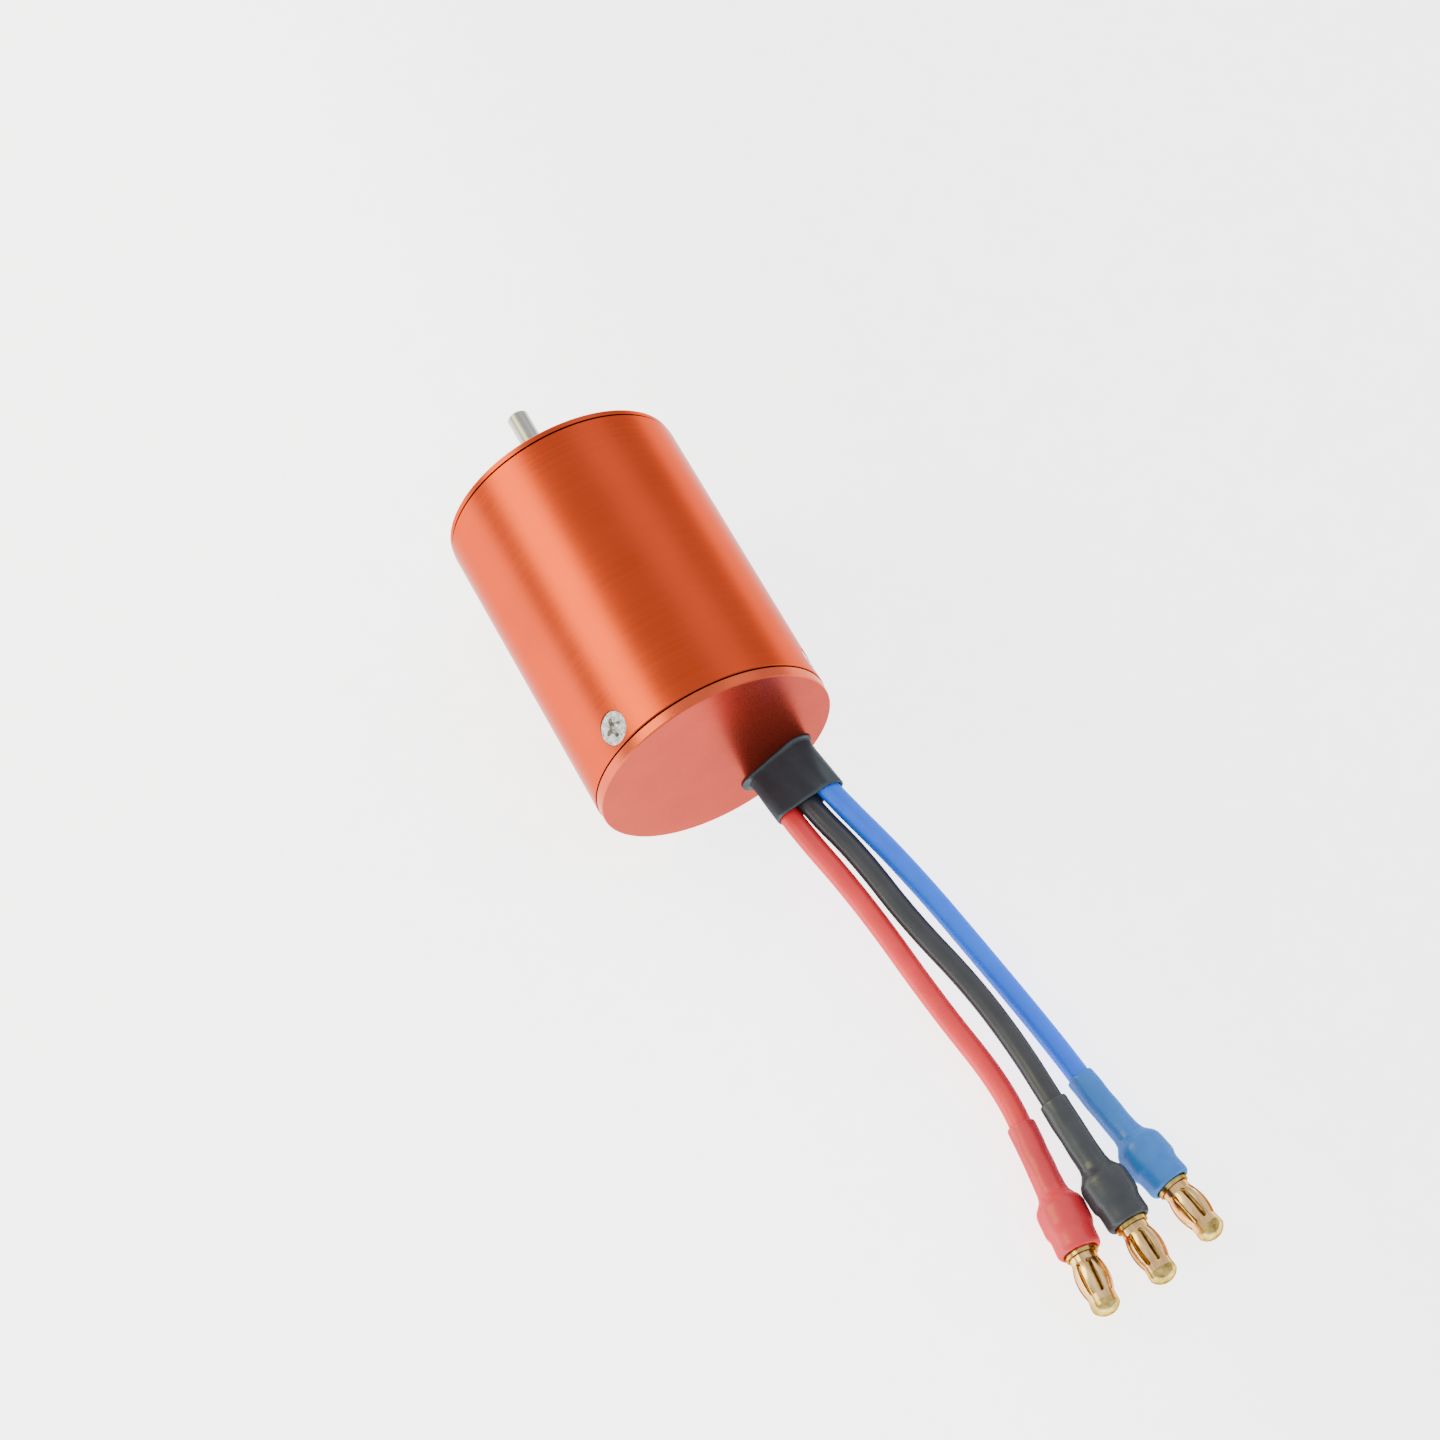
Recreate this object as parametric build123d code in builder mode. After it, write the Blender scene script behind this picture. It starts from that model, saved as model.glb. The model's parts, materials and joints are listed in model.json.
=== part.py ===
"""Brushless inrunner motor in a 36 mm can, with three leads that end in bullet plugs.

Millimetres. The origin is the centre of the front mounting face, +X runs out along
the shaft and +Z is up. The motor lies on its side, so the ground is at z = -CAN_R.
Angles round the shaft are measured from +Z toward +Y.
"""

import os
from math import cos, pi, radians, sin, tan

from build123d import *

os.makedirs("parts", exist_ok=True)

# Driving dimensions: case
CAN_R = 18.0
CAN_WALL = 1.6
BODY_LENGTH = 49.2  # front mounting face to rear face
FRONT_FLANGE = 0.9
REAR_FLANGE = 1.55
FLANGE_R = CAN_R - 0.15  # both caps are turned a little smaller than the can
SEAM = 0.25  # the can stops this far from either flange
SPIGOT_R = CAN_R - CAN_WALL - 0.05
CAP_PLATE = 4.4  # front face to the back of the front cap
PILOT_R, PILOT_HEIGHT = 6.5, 0.8
MOUNT_PCD, MOUNT_HOLE_R = 25.0, 1.25  # M3 tapped

# Driving dimensions: cap screws, M2.5 countersunk
SCREW_X = -44.5
SCREW_ANGLES = (48.8, 168.8, 288.8)
SCREW_R, SCREW_HEAD_R, SCREW_LENGTH = 1.25, 2.35, 5.0
SCREW_GAP = 0.07  # all round the head in its countersink
CROSS_LONG, CROSS_WIDE, CROSS_DEPTH, CROSS_TAPER = 3.0, 0.8, 0.9, 12
SCREW_TOP = CAN_R - 0.17  # the flat head sits just under the round of the can
LEG_R, LEG_END, LEG_SPAN = 13.4, -41.5, 50.0

# Driving dimensions: shaft, rotor and bearings
SHAFT_R, SHAFT_STEP_R, SHAFT_FREE = 1.5875, 2.5, 15.0
SHAFT_TAIL = -46.6
BEARING_R, BEARING_WIDTH = 4.7625, 3.967
FRONT_BEARING, REAR_BEARING = -2.3835, -44.0165  # mid-planes
BALL_R, BALL_PITCH_R, BALL_COUNT = 0.794, 3.175, 7
CORE_R, MAGNET_R, BAND_R = 4.2, 6.4, 6.8

# Driving dimensions: stator
STACK_FRONT, STACK_REAR = -12.0, -36.0
STATOR_R, YOKE_R, BORE_R = 16.38, 14.0, 7.3
TEETH, TOOTH_WIDTH = 6, 5.0
FIRST_TOOTH = 228.8  # the tooth in line with the cable outlet
INSULATOR = 0.8
COIL_IN, COIL_OUT, COIL_HALF, COIL_TURN = 9.0, 13.0, 4.9, 2.1

# Driving dimensions: leads, cable sleeve and bullet plugs
LEAD_R = 1.6
SLEEVE_LONG, SLEEVE_SHORT = 10.8, 4.4
SLEEVE_BASE, SLEEVE_BASE_TILT = (-9.7, -8.6), 38.0  # (y, z) and tilt where it leaves the cap
SLEEVE_TIP, SLEEVE_TIP_TILT = (-10.25, -7.35), 22.0
SLEEVE_INNER_X, SLEEVE_TIP_X = -46.9, -58.0
LIP_LONG, LIP_SHORT, LIP_THICK = 12.6, 4.6, 0.35
LIP_SHIFT = 0.4  # toward the red lead
LEAD_START_X = -45.0

# Lead routes from the splice inside the rear cap to the solder cup of the plug
ROUTES = {
    "red": [
        (LEAD_START_X, -7.16, -10.6),
        (-51.0, -7.16, -10.6),
        (-59.2, -6.88, -8.38),
        (-74.0, -10.0, -9.6),
        (-92.0, -12.25, -12.3),
        (-105.5, -14.8, -14.2),
        (-116.3, -13.85, -14.5),
        (-127.1, -12.8, -14.5),
    ],
    "black": [
        (LEAD_START_X, -9.7, -8.6),
        (-51.0, -9.7, -8.6),
        (-59.2, -9.99, -7.27),
        (-68.0, -12.4, -7.6),
        (-80.0, -14.2, -8.8),
        (-92.0, -17.4, -10.2),
        (-103.0, -18.7, -10.8),
        (-113.0, -18.8, -10.78),
        (-127.3, -19.45, -11.55),
    ],
    "blue": [
        (LEAD_START_X, -12.24, -6.6),
        (-51.0, -12.24, -6.6),
        (-58.5, -13.12, -5.97),
        (-73.0, -17.55, -7.9),
        (-91.0, -21.8, -12.0),
        (-103.0, -24.25, -14.1),
        (-113.8, -25.5, -14.5),
        (-124.3, -27.35, -14.5),
    ],
}

SHAFT_AXIS = Axis.X


def on_circle(angle, radius):
    """(y, z) of a point round the shaft."""
    return radius * sin(radians(angle)), radius * cos(radians(angle))


def across(x):
    """Plane square to the shaft at x, with local axes along Y and Z."""
    return Plane(origin=(x, 0, 0), x_dir=(0, 1, 0), z_dir=(1, 0, 0))


def radial(x, angle, radius):
    """Plane facing outward from the shaft, with its local x along the shaft."""
    y, z = on_circle(angle, radius)
    return Plane(origin=(x, y, z), x_dir=(1, 0, 0), z_dir=(0, *on_circle(angle, 1)))


def turned(points):
    """Solid of revolution about the shaft from (x, radius) points."""
    with BuildPart() as body:
        with BuildSketch(Plane.XY):
            with BuildLine():
                Polyline(*points, close=True)
            make_face()
        revolve(axis=SHAFT_AXIS)
    return body


def tube(x_low, x_high, r_in, r_out):
    """Plain ring about the shaft."""
    return turned([(x_low, r_in), (x_high, r_in), (x_high, r_out), (x_low, r_out)])


# ---------------------------------------------------------------- case

with BuildPart() as can:
    with BuildSketch(Plane.XY):
        with Locations(((-FRONT_FLANGE - BODY_LENGTH + REAR_FLANGE) / 2, CAN_R - CAN_WALL / 2)):
            Rectangle(BODY_LENGTH - FRONT_FLANGE - REAR_FLANGE - 2 * SEAM, CAN_WALL)
    revolve(axis=SHAFT_AXIS)
    chamfer(can.edges().filter_by(GeomType.CIRCLE).group_by(SortBy.RADIUS)[-1], 0.12)
    with Locations(*(radial(SCREW_X, a, SCREW_TOP).location for a in SCREW_ANGLES)):
        CounterSinkHole(SCREW_R + 0.03, SCREW_HEAD_R + SCREW_GAP, depth=CAN_WALL + 0.2)
can.part.label = "can"
export_step(can.part, "parts/can.step")

FRONT_SHOULDER = FRONT_BEARING + BEARING_WIDTH / 2
front_blank = turned(
    [
        (PILOT_HEIGHT, 3.2),
        (PILOT_HEIGHT, PILOT_R - 0.2),
        (PILOT_HEIGHT - 0.2, PILOT_R),
        (0, PILOT_R),
        (0, FLANGE_R - 0.2),
        (-0.2, FLANGE_R),
        (-FRONT_FLANGE, FLANGE_R),
        (-FRONT_FLANGE, SPIGOT_R),
        (-CAP_PLATE, SPIGOT_R),
        (-CAP_PLATE, 11.0),
        (-2.6, 11.0),
        (-2.6, 7.0),
        (-CAP_PLATE, 7.0),
        (-CAP_PLATE, BEARING_R),
        (FRONT_SHOULDER, BEARING_R),
        (FRONT_SHOULDER, 3.2),
    ]
)
with BuildPart() as front_cap:
    add(front_blank.part)
    with BuildSketch(across(0)):
        with PolarLocations(MOUNT_PCD / 2, 4):
            Circle(MOUNT_HOLE_R)
    extrude(amount=-CAP_PLATE, mode=Mode.SUBTRACT)
front_cap.part.label = "front_cap"
export_step(front_cap.part, "parts/front_cap.step")


def sleeve_plane(x, centre, tilt):
    """Plane of one cross-section of the flat cable sleeve, with local x along its width."""
    width_way = (0, cos(radians(tilt)), -sin(radians(tilt)))
    return Plane(origin=(x, *centre), x_dir=width_way, z_dir=(1, 0, 0))


FLANGE_INNER_X = -BODY_LENGTH + REAR_FLANGE
HUB_FLOOR = REAR_BEARING - BEARING_WIDTH / 2 - 0.35
HUB_END = REAR_BEARING + BEARING_WIDTH / 2 - 0.15
rear_blank = turned(
    [
        (-BODY_LENGTH, 0),
        (-BODY_LENGTH, FLANGE_R - 0.15),
        (-BODY_LENGTH + 0.15, FLANGE_R),
        (FLANGE_INNER_X, FLANGE_R),
        (FLANGE_INNER_X, 10.0),
        (FLANGE_INNER_X + 1.4, 10.0),
        (FLANGE_INNER_X + 1.4, 6.8),
        (HUB_END, 6.8),
        (HUB_END, BEARING_R),
        (HUB_FLOOR, BEARING_R),
        (HUB_FLOOR, 2.2),
        (SHAFT_TAIL - 0.5, 2.2),
        (SHAFT_TAIL - 0.5, 0),
    ]
)
with BuildPart() as rear_cap:
    add(rear_blank.part)
    # Three legs reach into the can and take the cap screws
    with BuildSketch(across(FLANGE_INNER_X)):
        Circle(SPIGOT_R)
        Circle(LEG_R, mode=Mode.SUBTRACT)
        for angle in SCREW_ANGLES:
            with BuildLine():
                reach = 2 * CAN_R
                Polyline(
                    (0, 0),
                    on_circle(angle + LEG_SPAN / 2, reach),
                    on_circle(angle + 120 - LEG_SPAN / 2, reach),
                    close=True,
                )
            make_face(mode=Mode.SUBTRACT)
    extrude(amount=LEG_END - FLANGE_INNER_X)
    with Locations(*(radial(SCREW_X, a, CAN_R).location for a in SCREW_ANGLES)):
        Hole(SCREW_R, depth=CAN_R - LEG_R + 1)
    with BuildSketch(sleeve_plane(-BODY_LENGTH - 0.5, SLEEVE_BASE, SLEEVE_BASE_TILT)):
        SlotOverall(SLEEVE_LONG, SLEEVE_SHORT)
    extrude(amount=REAR_FLANGE + 1.0, mode=Mode.SUBTRACT)
rear_cap.part.label = "rear_cap"
export_step(rear_cap.part, "parts/rear_cap.step")

with BuildPart() as cap_screws:
    for angle in SCREW_ANGLES:
        with BuildSketch(radial(SCREW_X, angle, SCREW_TOP)):
            Circle(SCREW_HEAD_R)
        extrude(amount=-(SCREW_HEAD_R - SCREW_R + 0.05), taper=45)
        with BuildSketch(radial(SCREW_X, angle, SCREW_TOP - 1.0)):
            Circle(SCREW_R - 0.02)
        extrude(amount=-(SCREW_LENGTH - 1.0))
        with BuildSketch(radial(SCREW_X, angle, SCREW_TOP)):
            SlotOverall(CROSS_LONG, CROSS_WIDE)
            SlotOverall(CROSS_LONG, CROSS_WIDE, rotation=90)
            Circle(CROSS_WIDE)
        extrude(amount=-CROSS_DEPTH, taper=CROSS_TAPER, mode=Mode.SUBTRACT)
cap_screws.part.label = "cap_screws"
export_step(cap_screws.part, "parts/cap_screws.step")

# ---------------------------------------------------------------- bearings


def groove(x, r_in, r_out, groove_r):
    """Bearing race: a ring with a round groove for the balls."""
    with BuildPart() as race:
        with BuildSketch(Plane.XY):
            with Locations((x, (r_in + r_out) / 2)):
                Rectangle(BEARING_WIDTH, r_out - r_in)
            with Locations((x, BALL_PITCH_R)):
                Circle(groove_r, mode=Mode.SUBTRACT)
        revolve(axis=SHAFT_AXIS)
    return race


def balls(x):
    """One ring of bearing balls."""
    with BuildPart() as ring_of_balls:
        with BuildSketch(Plane.XY):
            with BuildLine():
                arc = CenterArc((x, BALL_PITCH_R), BALL_R, 0, 180)
                Line(arc @ 1, arc @ 0)
            make_face()
        revolve(axis=Axis((x, BALL_PITCH_R, 0), (1, 0, 0)))
        one = ring_of_balls.part
        for index in range(1, BALL_COUNT):
            add(one.rotate(SHAFT_AXIS, index * 360 / BALL_COUNT))
    return ring_of_balls


def cage(x):
    """Thin ring that spaces the balls, with a round pocket for each."""
    blank = tube(x - 1.05, x + 1.05, 2.8, 3.55)
    with BuildPart() as ball_cage:
        add(blank.part)
        for index in range(BALL_COUNT):
            with BuildSketch(radial(x, 90 - index * 360 / BALL_COUNT, BALL_PITCH_R)):
                Circle(BALL_R + 0.05)
            extrude(amount=0.6, both=True, mode=Mode.SUBTRACT)
    return ball_cage


def shields(x):
    """The two thin covers pressed into the outer race."""
    inset = BEARING_WIDTH / 2 - 0.2
    with BuildPart() as covers:
        with BuildSketch(Plane.XY):
            with Locations((x - inset, 3.26), (x + inset, 3.26)):
                Rectangle(0.2, 1.08)
        revolve(axis=SHAFT_AXIS)
    return covers


for end, middle in (("front", FRONT_BEARING), ("rear", REAR_BEARING)):
    pieces = {
        "outer_race": groove(middle, 3.8, BEARING_R, BALL_R + 0.04),
        "inner_race": groove(middle, SHAFT_R, 2.55, BALL_R + 0.04),
        "balls": balls(middle),
        "cage": cage(middle),
        "shields": shields(middle),
    }
    for name, piece in pieces.items():
        piece.part.label = f"{end}_bearing_{name}"
        export_step(piece.part, f"parts/{end}_bearing_{name}.step")

disc_spring = turned(
    [(HUB_FLOOR, 4.5), (HUB_FLOOR + 0.12, 4.6), (HUB_FLOOR + 0.35, 4.1), (HUB_FLOOR + 0.23, 4.0)]
)
disc_spring.part.label = "disc_spring"
export_step(disc_spring.part, "parts/disc_spring.step")

# ---------------------------------------------------------------- rotor

STEP_FRONT, STEP_REAR = -6.6, -39.9
RELIEF_FRONT, RELIEF_R = 0.6, 1.4  # ground relief ahead of the front bearing
shaft = turned(
    [
        (SHAFT_FREE, 0),
        (SHAFT_FREE, SHAFT_R - 0.3),
        (SHAFT_FREE - 0.3, SHAFT_R),
        (RELIEF_FRONT, SHAFT_R),
        (RELIEF_FRONT, RELIEF_R),
        (FRONT_SHOULDER, RELIEF_R),
        (FRONT_SHOULDER, SHAFT_R),
        (STEP_FRONT, SHAFT_R),
        (STEP_FRONT, SHAFT_STEP_R),
        (STEP_REAR, SHAFT_STEP_R),
        (STEP_REAR, SHAFT_R),
        (SHAFT_TAIL + 0.2, SHAFT_R),
        (SHAFT_TAIL, SHAFT_R - 0.2),
        (SHAFT_TAIL, 0),
    ]
)
shaft.part.label = "shaft"
export_step(shaft.part, "parts/shaft.step")

front_spacer = tube(STEP_FRONT, FRONT_BEARING - BEARING_WIDTH / 2, SHAFT_R, 2.4)
front_spacer.part.label = "front_spacer"
export_step(front_spacer.part, "parts/front_spacer.step")

rear_spacer = tube(REAR_BEARING + BEARING_WIDTH / 2, STEP_REAR, SHAFT_R, 2.4)
rear_spacer.part.label = "rear_spacer"
export_step(rear_spacer.part, "parts/rear_spacer.step")

rotor_core = tube(STACK_REAR, STACK_FRONT, SHAFT_STEP_R, CORE_R)
rotor_core.part.label = "rotor_core"
export_step(rotor_core.part, "parts/rotor_core.step")

MAGNET_GAP = 0.4
with BuildPart() as magnets:
    with BuildSketch(across(STACK_REAR)):
        Circle(MAGNET_R)
        Circle(CORE_R, mode=Mode.SUBTRACT)
        with PolarLocations(0, 2, start_angle=45, angular_range=180):
            Rectangle(3 * MAGNET_R, MAGNET_GAP, mode=Mode.SUBTRACT)
    extrude(amount=STACK_FRONT - STACK_REAR)
magnets.part.label = "magnets"
export_step(magnets.part, "parts/magnets.step")

rotor_band = tube(STACK_REAR, STACK_FRONT, MAGNET_R, BAND_R)
rotor_band.part.label = "rotor_band"
export_step(rotor_band.part, "parts/rotor_band.step")


def balance_ring(x_low, x_high, outer_face, drilled):
    """Brass ring beside the magnets, drilled on its outer face to balance the rotor."""
    blank = tube(x_low, x_high, SHAFT_STEP_R, 6.2)
    with BuildPart() as ring:
        add(blank.part)
        with BuildSketch(across(outer_face)):
            for angle in drilled:
                with Locations(on_circle(angle, 5.1)):
                    Circle(0.6)
        extrude(amount=0.9, both=True, mode=Mode.SUBTRACT)
    return ring


front_balance_ring = balance_ring(STACK_FRONT, -9.8, -9.8, (20, 55))
front_balance_ring.part.label = "front_balance_ring"
export_step(front_balance_ring.part, "parts/front_balance_ring.step")

rear_balance_ring = balance_ring(-38.2, STACK_REAR, -38.2, (190, 215, 240))
rear_balance_ring.part.label = "rear_balance_ring"
export_step(rear_balance_ring.part, "parts/rear_balance_ring.step")

# ---------------------------------------------------------------- stator

TOOTH_ANGLES = [FIRST_TOOTH + index * 360 / TEETH for index in range(TEETH)]


def tooth_direction(angle):
    """Rotation that turns the sketch's local x onto a tooth."""
    return 90 - angle


with BuildPart() as stator_core:
    with BuildSketch(across(STACK_REAR)):
        Circle(STATOR_R)
        Circle(YOKE_R, mode=Mode.SUBTRACT)
        for angle in TOOTH_ANGLES:
            with Locations(Location((0, 0), tooth_direction(angle))):
                with Locations(((BORE_R + YOKE_R) / 2 + 0.3, 0)):
                    Rectangle(YOKE_R - BORE_R, TOOTH_WIDTH)
        # The pole shoes are one ring round the bore, parted between the teeth
        with BuildLine():
            CenterArc((0, 0), BORE_R + 1.1, 0, 360)
        make_face()
        for angle in TOOTH_ANGLES:
            with Locations(Location((0, 0), tooth_direction(angle + 180 / TEETH))):
                with Locations((BORE_R + 0.5, 0)):
                    Rectangle(2.4, 1.6, mode=Mode.SUBTRACT)
        Circle(BORE_R, mode=Mode.SUBTRACT)
    extrude(amount=STACK_FRONT - STACK_REAR)
stator_core.part.label = "stator_core"
export_step(stator_core.part, "parts/stator_core.step")


def insulator(x):
    """End plate that keeps the windings off the laminations."""
    with BuildPart() as plate:
        with BuildSketch(across(x)):
            Circle(STATOR_R - 0.3)
            Circle(YOKE_R, mode=Mode.SUBTRACT)
            for angle in TOOTH_ANGLES:
                with Locations(Location((0, 0), tooth_direction(angle))):
                    with Locations(((COIL_IN + YOKE_R) / 2 + 0.3, 0)):
                        Rectangle(YOKE_R - COIL_IN, TOOTH_WIDTH + 0.4)
        extrude(amount=INSULATOR)
    return plate


front_insulator = insulator(STACK_FRONT)
front_insulator.part.label = "front_insulator"
export_step(front_insulator.part, "parts/front_insulator.step")

rear_insulator = insulator(STACK_REAR - INSULATOR)
rear_insulator.part.label = "rear_insulator"
export_step(rear_insulator.part, "parts/rear_insulator.step")

STACK_MIDDLE = (STACK_FRONT + STACK_REAR) / 2
COIL_WINDOW = STACK_FRONT - STACK_REAR + 2 * INSULATOR
END_TURN = 3.6
COIL_REAR = STACK_MIDDLE - COIL_WINDOW / 2 - END_TURN
for phase, first in (("a", 0), ("b", 1), ("c", 2)):
    with BuildPart() as coils:
        for angle in (TOOTH_ANGLES[first], TOOTH_ANGLES[first + 3]):
            with BuildSketch(radial(STACK_MIDDLE, angle, COIL_IN)):
                RectangleRounded(COIL_WINDOW + 2 * END_TURN, 2 * COIL_HALF, 2.0)
                Rectangle(COIL_WINDOW, 2 * (COIL_HALF - COIL_TURN), mode=Mode.SUBTRACT)
            extrude(amount=COIL_OUT - COIL_IN)
    coils.part.label = f"phase_{phase}_coils"
    export_step(coils.part, f"parts/phase_{phase}_coils.step")

# ---------------------------------------------------------------- winding connections

TAIL_R, TAIL_X = 0.6, COIL_REAR - 1.2
SPLICE_R, SPLICE_FRONT = 1.4, COIL_REAR - 2.2


def tail(start, end):
    """Enamelled wire bundle from a coil's end turn back to its splice."""
    corner = 0.75
    with BuildPart() as wire:
        with BuildLine() as path:
            if start == end:
                Line((COIL_REAR, *start), (SPLICE_FRONT, *end))
            else:
                FilletPolyline(
                    (COIL_REAR, *start), (TAIL_X, *start), (TAIL_X, *end), (SPLICE_FRONT, *end),
                    radius=corner,
                )
        with BuildSketch(Plane(origin=path.line @ 0, z_dir=path.line % 0)):
            Circle(TAIL_R)
        sweep(path=path.line)
    return wire


LEAD_ENTRY = {name: points[0][1:] for name, points in ROUTES.items()}
COIL_EXIT = 12.6  # degrees from the tooth to where its wires leave
TAILS = {
    "a": ("black", LEAD_ENTRY["black"]),
    "b": ("blue", on_circle(TOOTH_ANGLES[1] - COIL_EXIT, 11.5)),
    "c": ("red", on_circle(TOOTH_ANGLES[5] + COIL_EXIT, 11.5)),
}
for phase, (colour, start) in TAILS.items():
    phase_tail = tail(start, LEAD_ENTRY[colour])
    phase_tail.part.label = f"phase_{phase}_tail"
    export_step(phase_tail.part, f"parts/phase_{phase}_tail.step")
    with BuildPart() as splice:
        with BuildSketch(across(LEAD_START_X)):
            with Locations(LEAD_ENTRY[colour]):
                Circle(SPLICE_R)
        extrude(amount=SPLICE_FRONT - LEAD_START_X)
    splice.part.label = f"{colour}_splice"
    export_step(splice.part, f"parts/{colour}_splice.step")

with BuildPart() as star_joint:
    star_y, star_z = on_circle(FIRST_TOOTH + 180, 11.5)
    star_along = (0, *on_circle(FIRST_TOOTH + 90, 1))
    with BuildSketch(Plane(origin=(COIL_REAR - 1.0, star_y, star_z), z_dir=star_along)):
        Circle(1.0)
    extrude(amount=3.4, both=True)
star_joint.part.label = "star_joint"
export_step(star_joint.part, "parts/star_joint.step")

# ---------------------------------------------------------------- leads


def bend_radii(points):
    """Radius of each bend: 0.45 of its shorter run over the tangent of half its turn."""
    radii = []
    for before, here, after in zip(points, points[1:], points[2:]):
        run_in, run_out = Vector(*here) - Vector(*before), Vector(*after) - Vector(*here)
        turn = radians(run_in.get_angle(run_out))
        radii.append(0.45 * min(run_in.length, run_out.length) / tan(turn / 2))
    return radii


def along_lead(points, radius):
    """Round section carried along a lead's route."""
    with BuildPart() as cord:
        with BuildLine() as path:
            FilletPolyline(*points, radius=bend_radii(points))
        with BuildSketch(Plane(origin=path.line @ 0, z_dir=path.line % 0)):
            Circle(radius)
        sweep(path=path.line)
    return cord, path.wire().length


leads = {}
for colour, points in ROUTES.items():
    leads[colour], lead_length = along_lead(points, LEAD_R)
    print(colour, "lead bend radii", [round(r, 1) for r in bend_radii(points)])
    print(
        colour, "lead length", round(lead_length, 1), "volume", round(leads[colour].part.volume, 1),
        "section x length", round(pi * LEAD_R**2 * lead_length, 1),
    )
    leads[colour].part.label = f"{colour}_lead"
    export_step(leads[colour].part, f"parts/{colour}_lead.step")

# ---------------------------------------------------------------- cable sleeve

with BuildPart() as cable_sleeve:
    inner = sleeve_plane(SLEEVE_INNER_X, SLEEVE_BASE, SLEEVE_BASE_TILT)
    outlet = sleeve_plane(-BODY_LENGTH, SLEEVE_BASE, SLEEVE_BASE_TILT)
    tip = sleeve_plane(SLEEVE_TIP_X, SLEEVE_TIP, SLEEVE_TIP_TILT)
    for start, end in ((inner, outlet), (outlet, tip)):
        for plane in (start, end):
            with BuildSketch(plane):
                SlotOverall(SLEEVE_LONG, SLEEVE_SHORT)
        loft()
    # A thin lip spreads over the rear face
    with BuildSketch(outlet):
        with Locations((LIP_SHIFT, 0)):
            SlotOverall(LIP_LONG, LIP_SHORT)
    extrude(amount=-LIP_THICK)
    for lead in leads.values():
        add(lead.part, mode=Mode.SUBTRACT)
cable_sleeve.part.label = "cable_sleeve"
export_step(cable_sleeve.part, "parts/cable_sleeve.step")

# ---------------------------------------------------------------- bullet plugs

# Distances along a plug from where its shrink sleeve begins to swell
CUP_MOUTH, LEAD_END, CUP_END, BARREL_END = 1.2, 4.2, 5.2, 8.2
SHRINK_END, COLLAR_END, SPRING_END, TIP_END = 8.55, 9.2, 16.1, 17.95
SHRINK_TAIL = 11.1  # how far the shrink sleeve runs back along the lead
CUP_R, BARREL_R, COLLAR_R, ROD_R, SEAT_R, HEAD_R = 2.9, 2.55, 2.3, 1.25, 1.7, 2.0
CUP_BORE_R = LEAD_R + 0.02
SHRINK_R, NECK_R, BULGE_R = 2.05, 3.15, 3.5
SPRING_R, BELLY_R, LEAF_THICK = 1.95, 2.38, 0.25  # the spring at its ends and at its middle
SPRING_SLOTS, SLOT_LONG, SLOT_WIDE = 8, 5.0, 0.68


def plug_plane(points):
    """Plane at a plug's start whose x runs along the plug and whose y is horizontal."""
    end, before = Vector(*points[-1]), Vector(*points[-2])
    along = (end - before).normalized()
    level = Vector(0, 0, 1).cross(along)
    return Plane(origin=end - along * LEAD_END, x_dir=along, z_dir=along.cross(level))


def spun(plane, outline):
    """Solid of revolution about a plug's own axis from (distance, radius) points."""
    with BuildPart() as body:
        with BuildSketch(plane):
            with BuildLine():
                Polyline(*outline, close=True)
            make_face()
        revolve(axis=Axis(plane.origin, plane.x_dir))
    return body


def bullet_pin(plane):
    """Turned brass pin with a solder cup, a collar, a slim rod and a domed head."""
    with BuildPart() as pin:
        with BuildSketch(plane):
            with BuildLine():
                Polyline(
                    (LEAD_END, 0),
                    (LEAD_END, CUP_BORE_R),
                    (CUP_MOUTH, CUP_BORE_R),
                    (CUP_MOUTH, CUP_R),
                    (CUP_END, CUP_R),
                    (CUP_END, BARREL_R),
                    (BARREL_END, BARREL_R),
                    (BARREL_END, COLLAR_R),
                    (COLLAR_END, COLLAR_R),
                    (COLLAR_END, SEAT_R),
                    (COLLAR_END + 1.0, SEAT_R),
                    (COLLAR_END + 1.3, ROD_R),
                    (SPRING_END - 1.3, ROD_R),
                    (SPRING_END - 1.0, SEAT_R),
                    (SPRING_END, SEAT_R),
                    (SPRING_END, HEAD_R),
                    (SPRING_END + 0.7, HEAD_R),
                )
                ThreePointArc(
                    (SPRING_END + 0.7, HEAD_R), (TIP_END - 0.32, 1.3), (TIP_END, 0.5)
                )
                Polyline((TIP_END, 0.5), (TIP_END, 0), (LEAD_END, 0))
            make_face()
        revolve(axis=Axis(plane.origin, plane.x_dir))
    return pin


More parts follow.
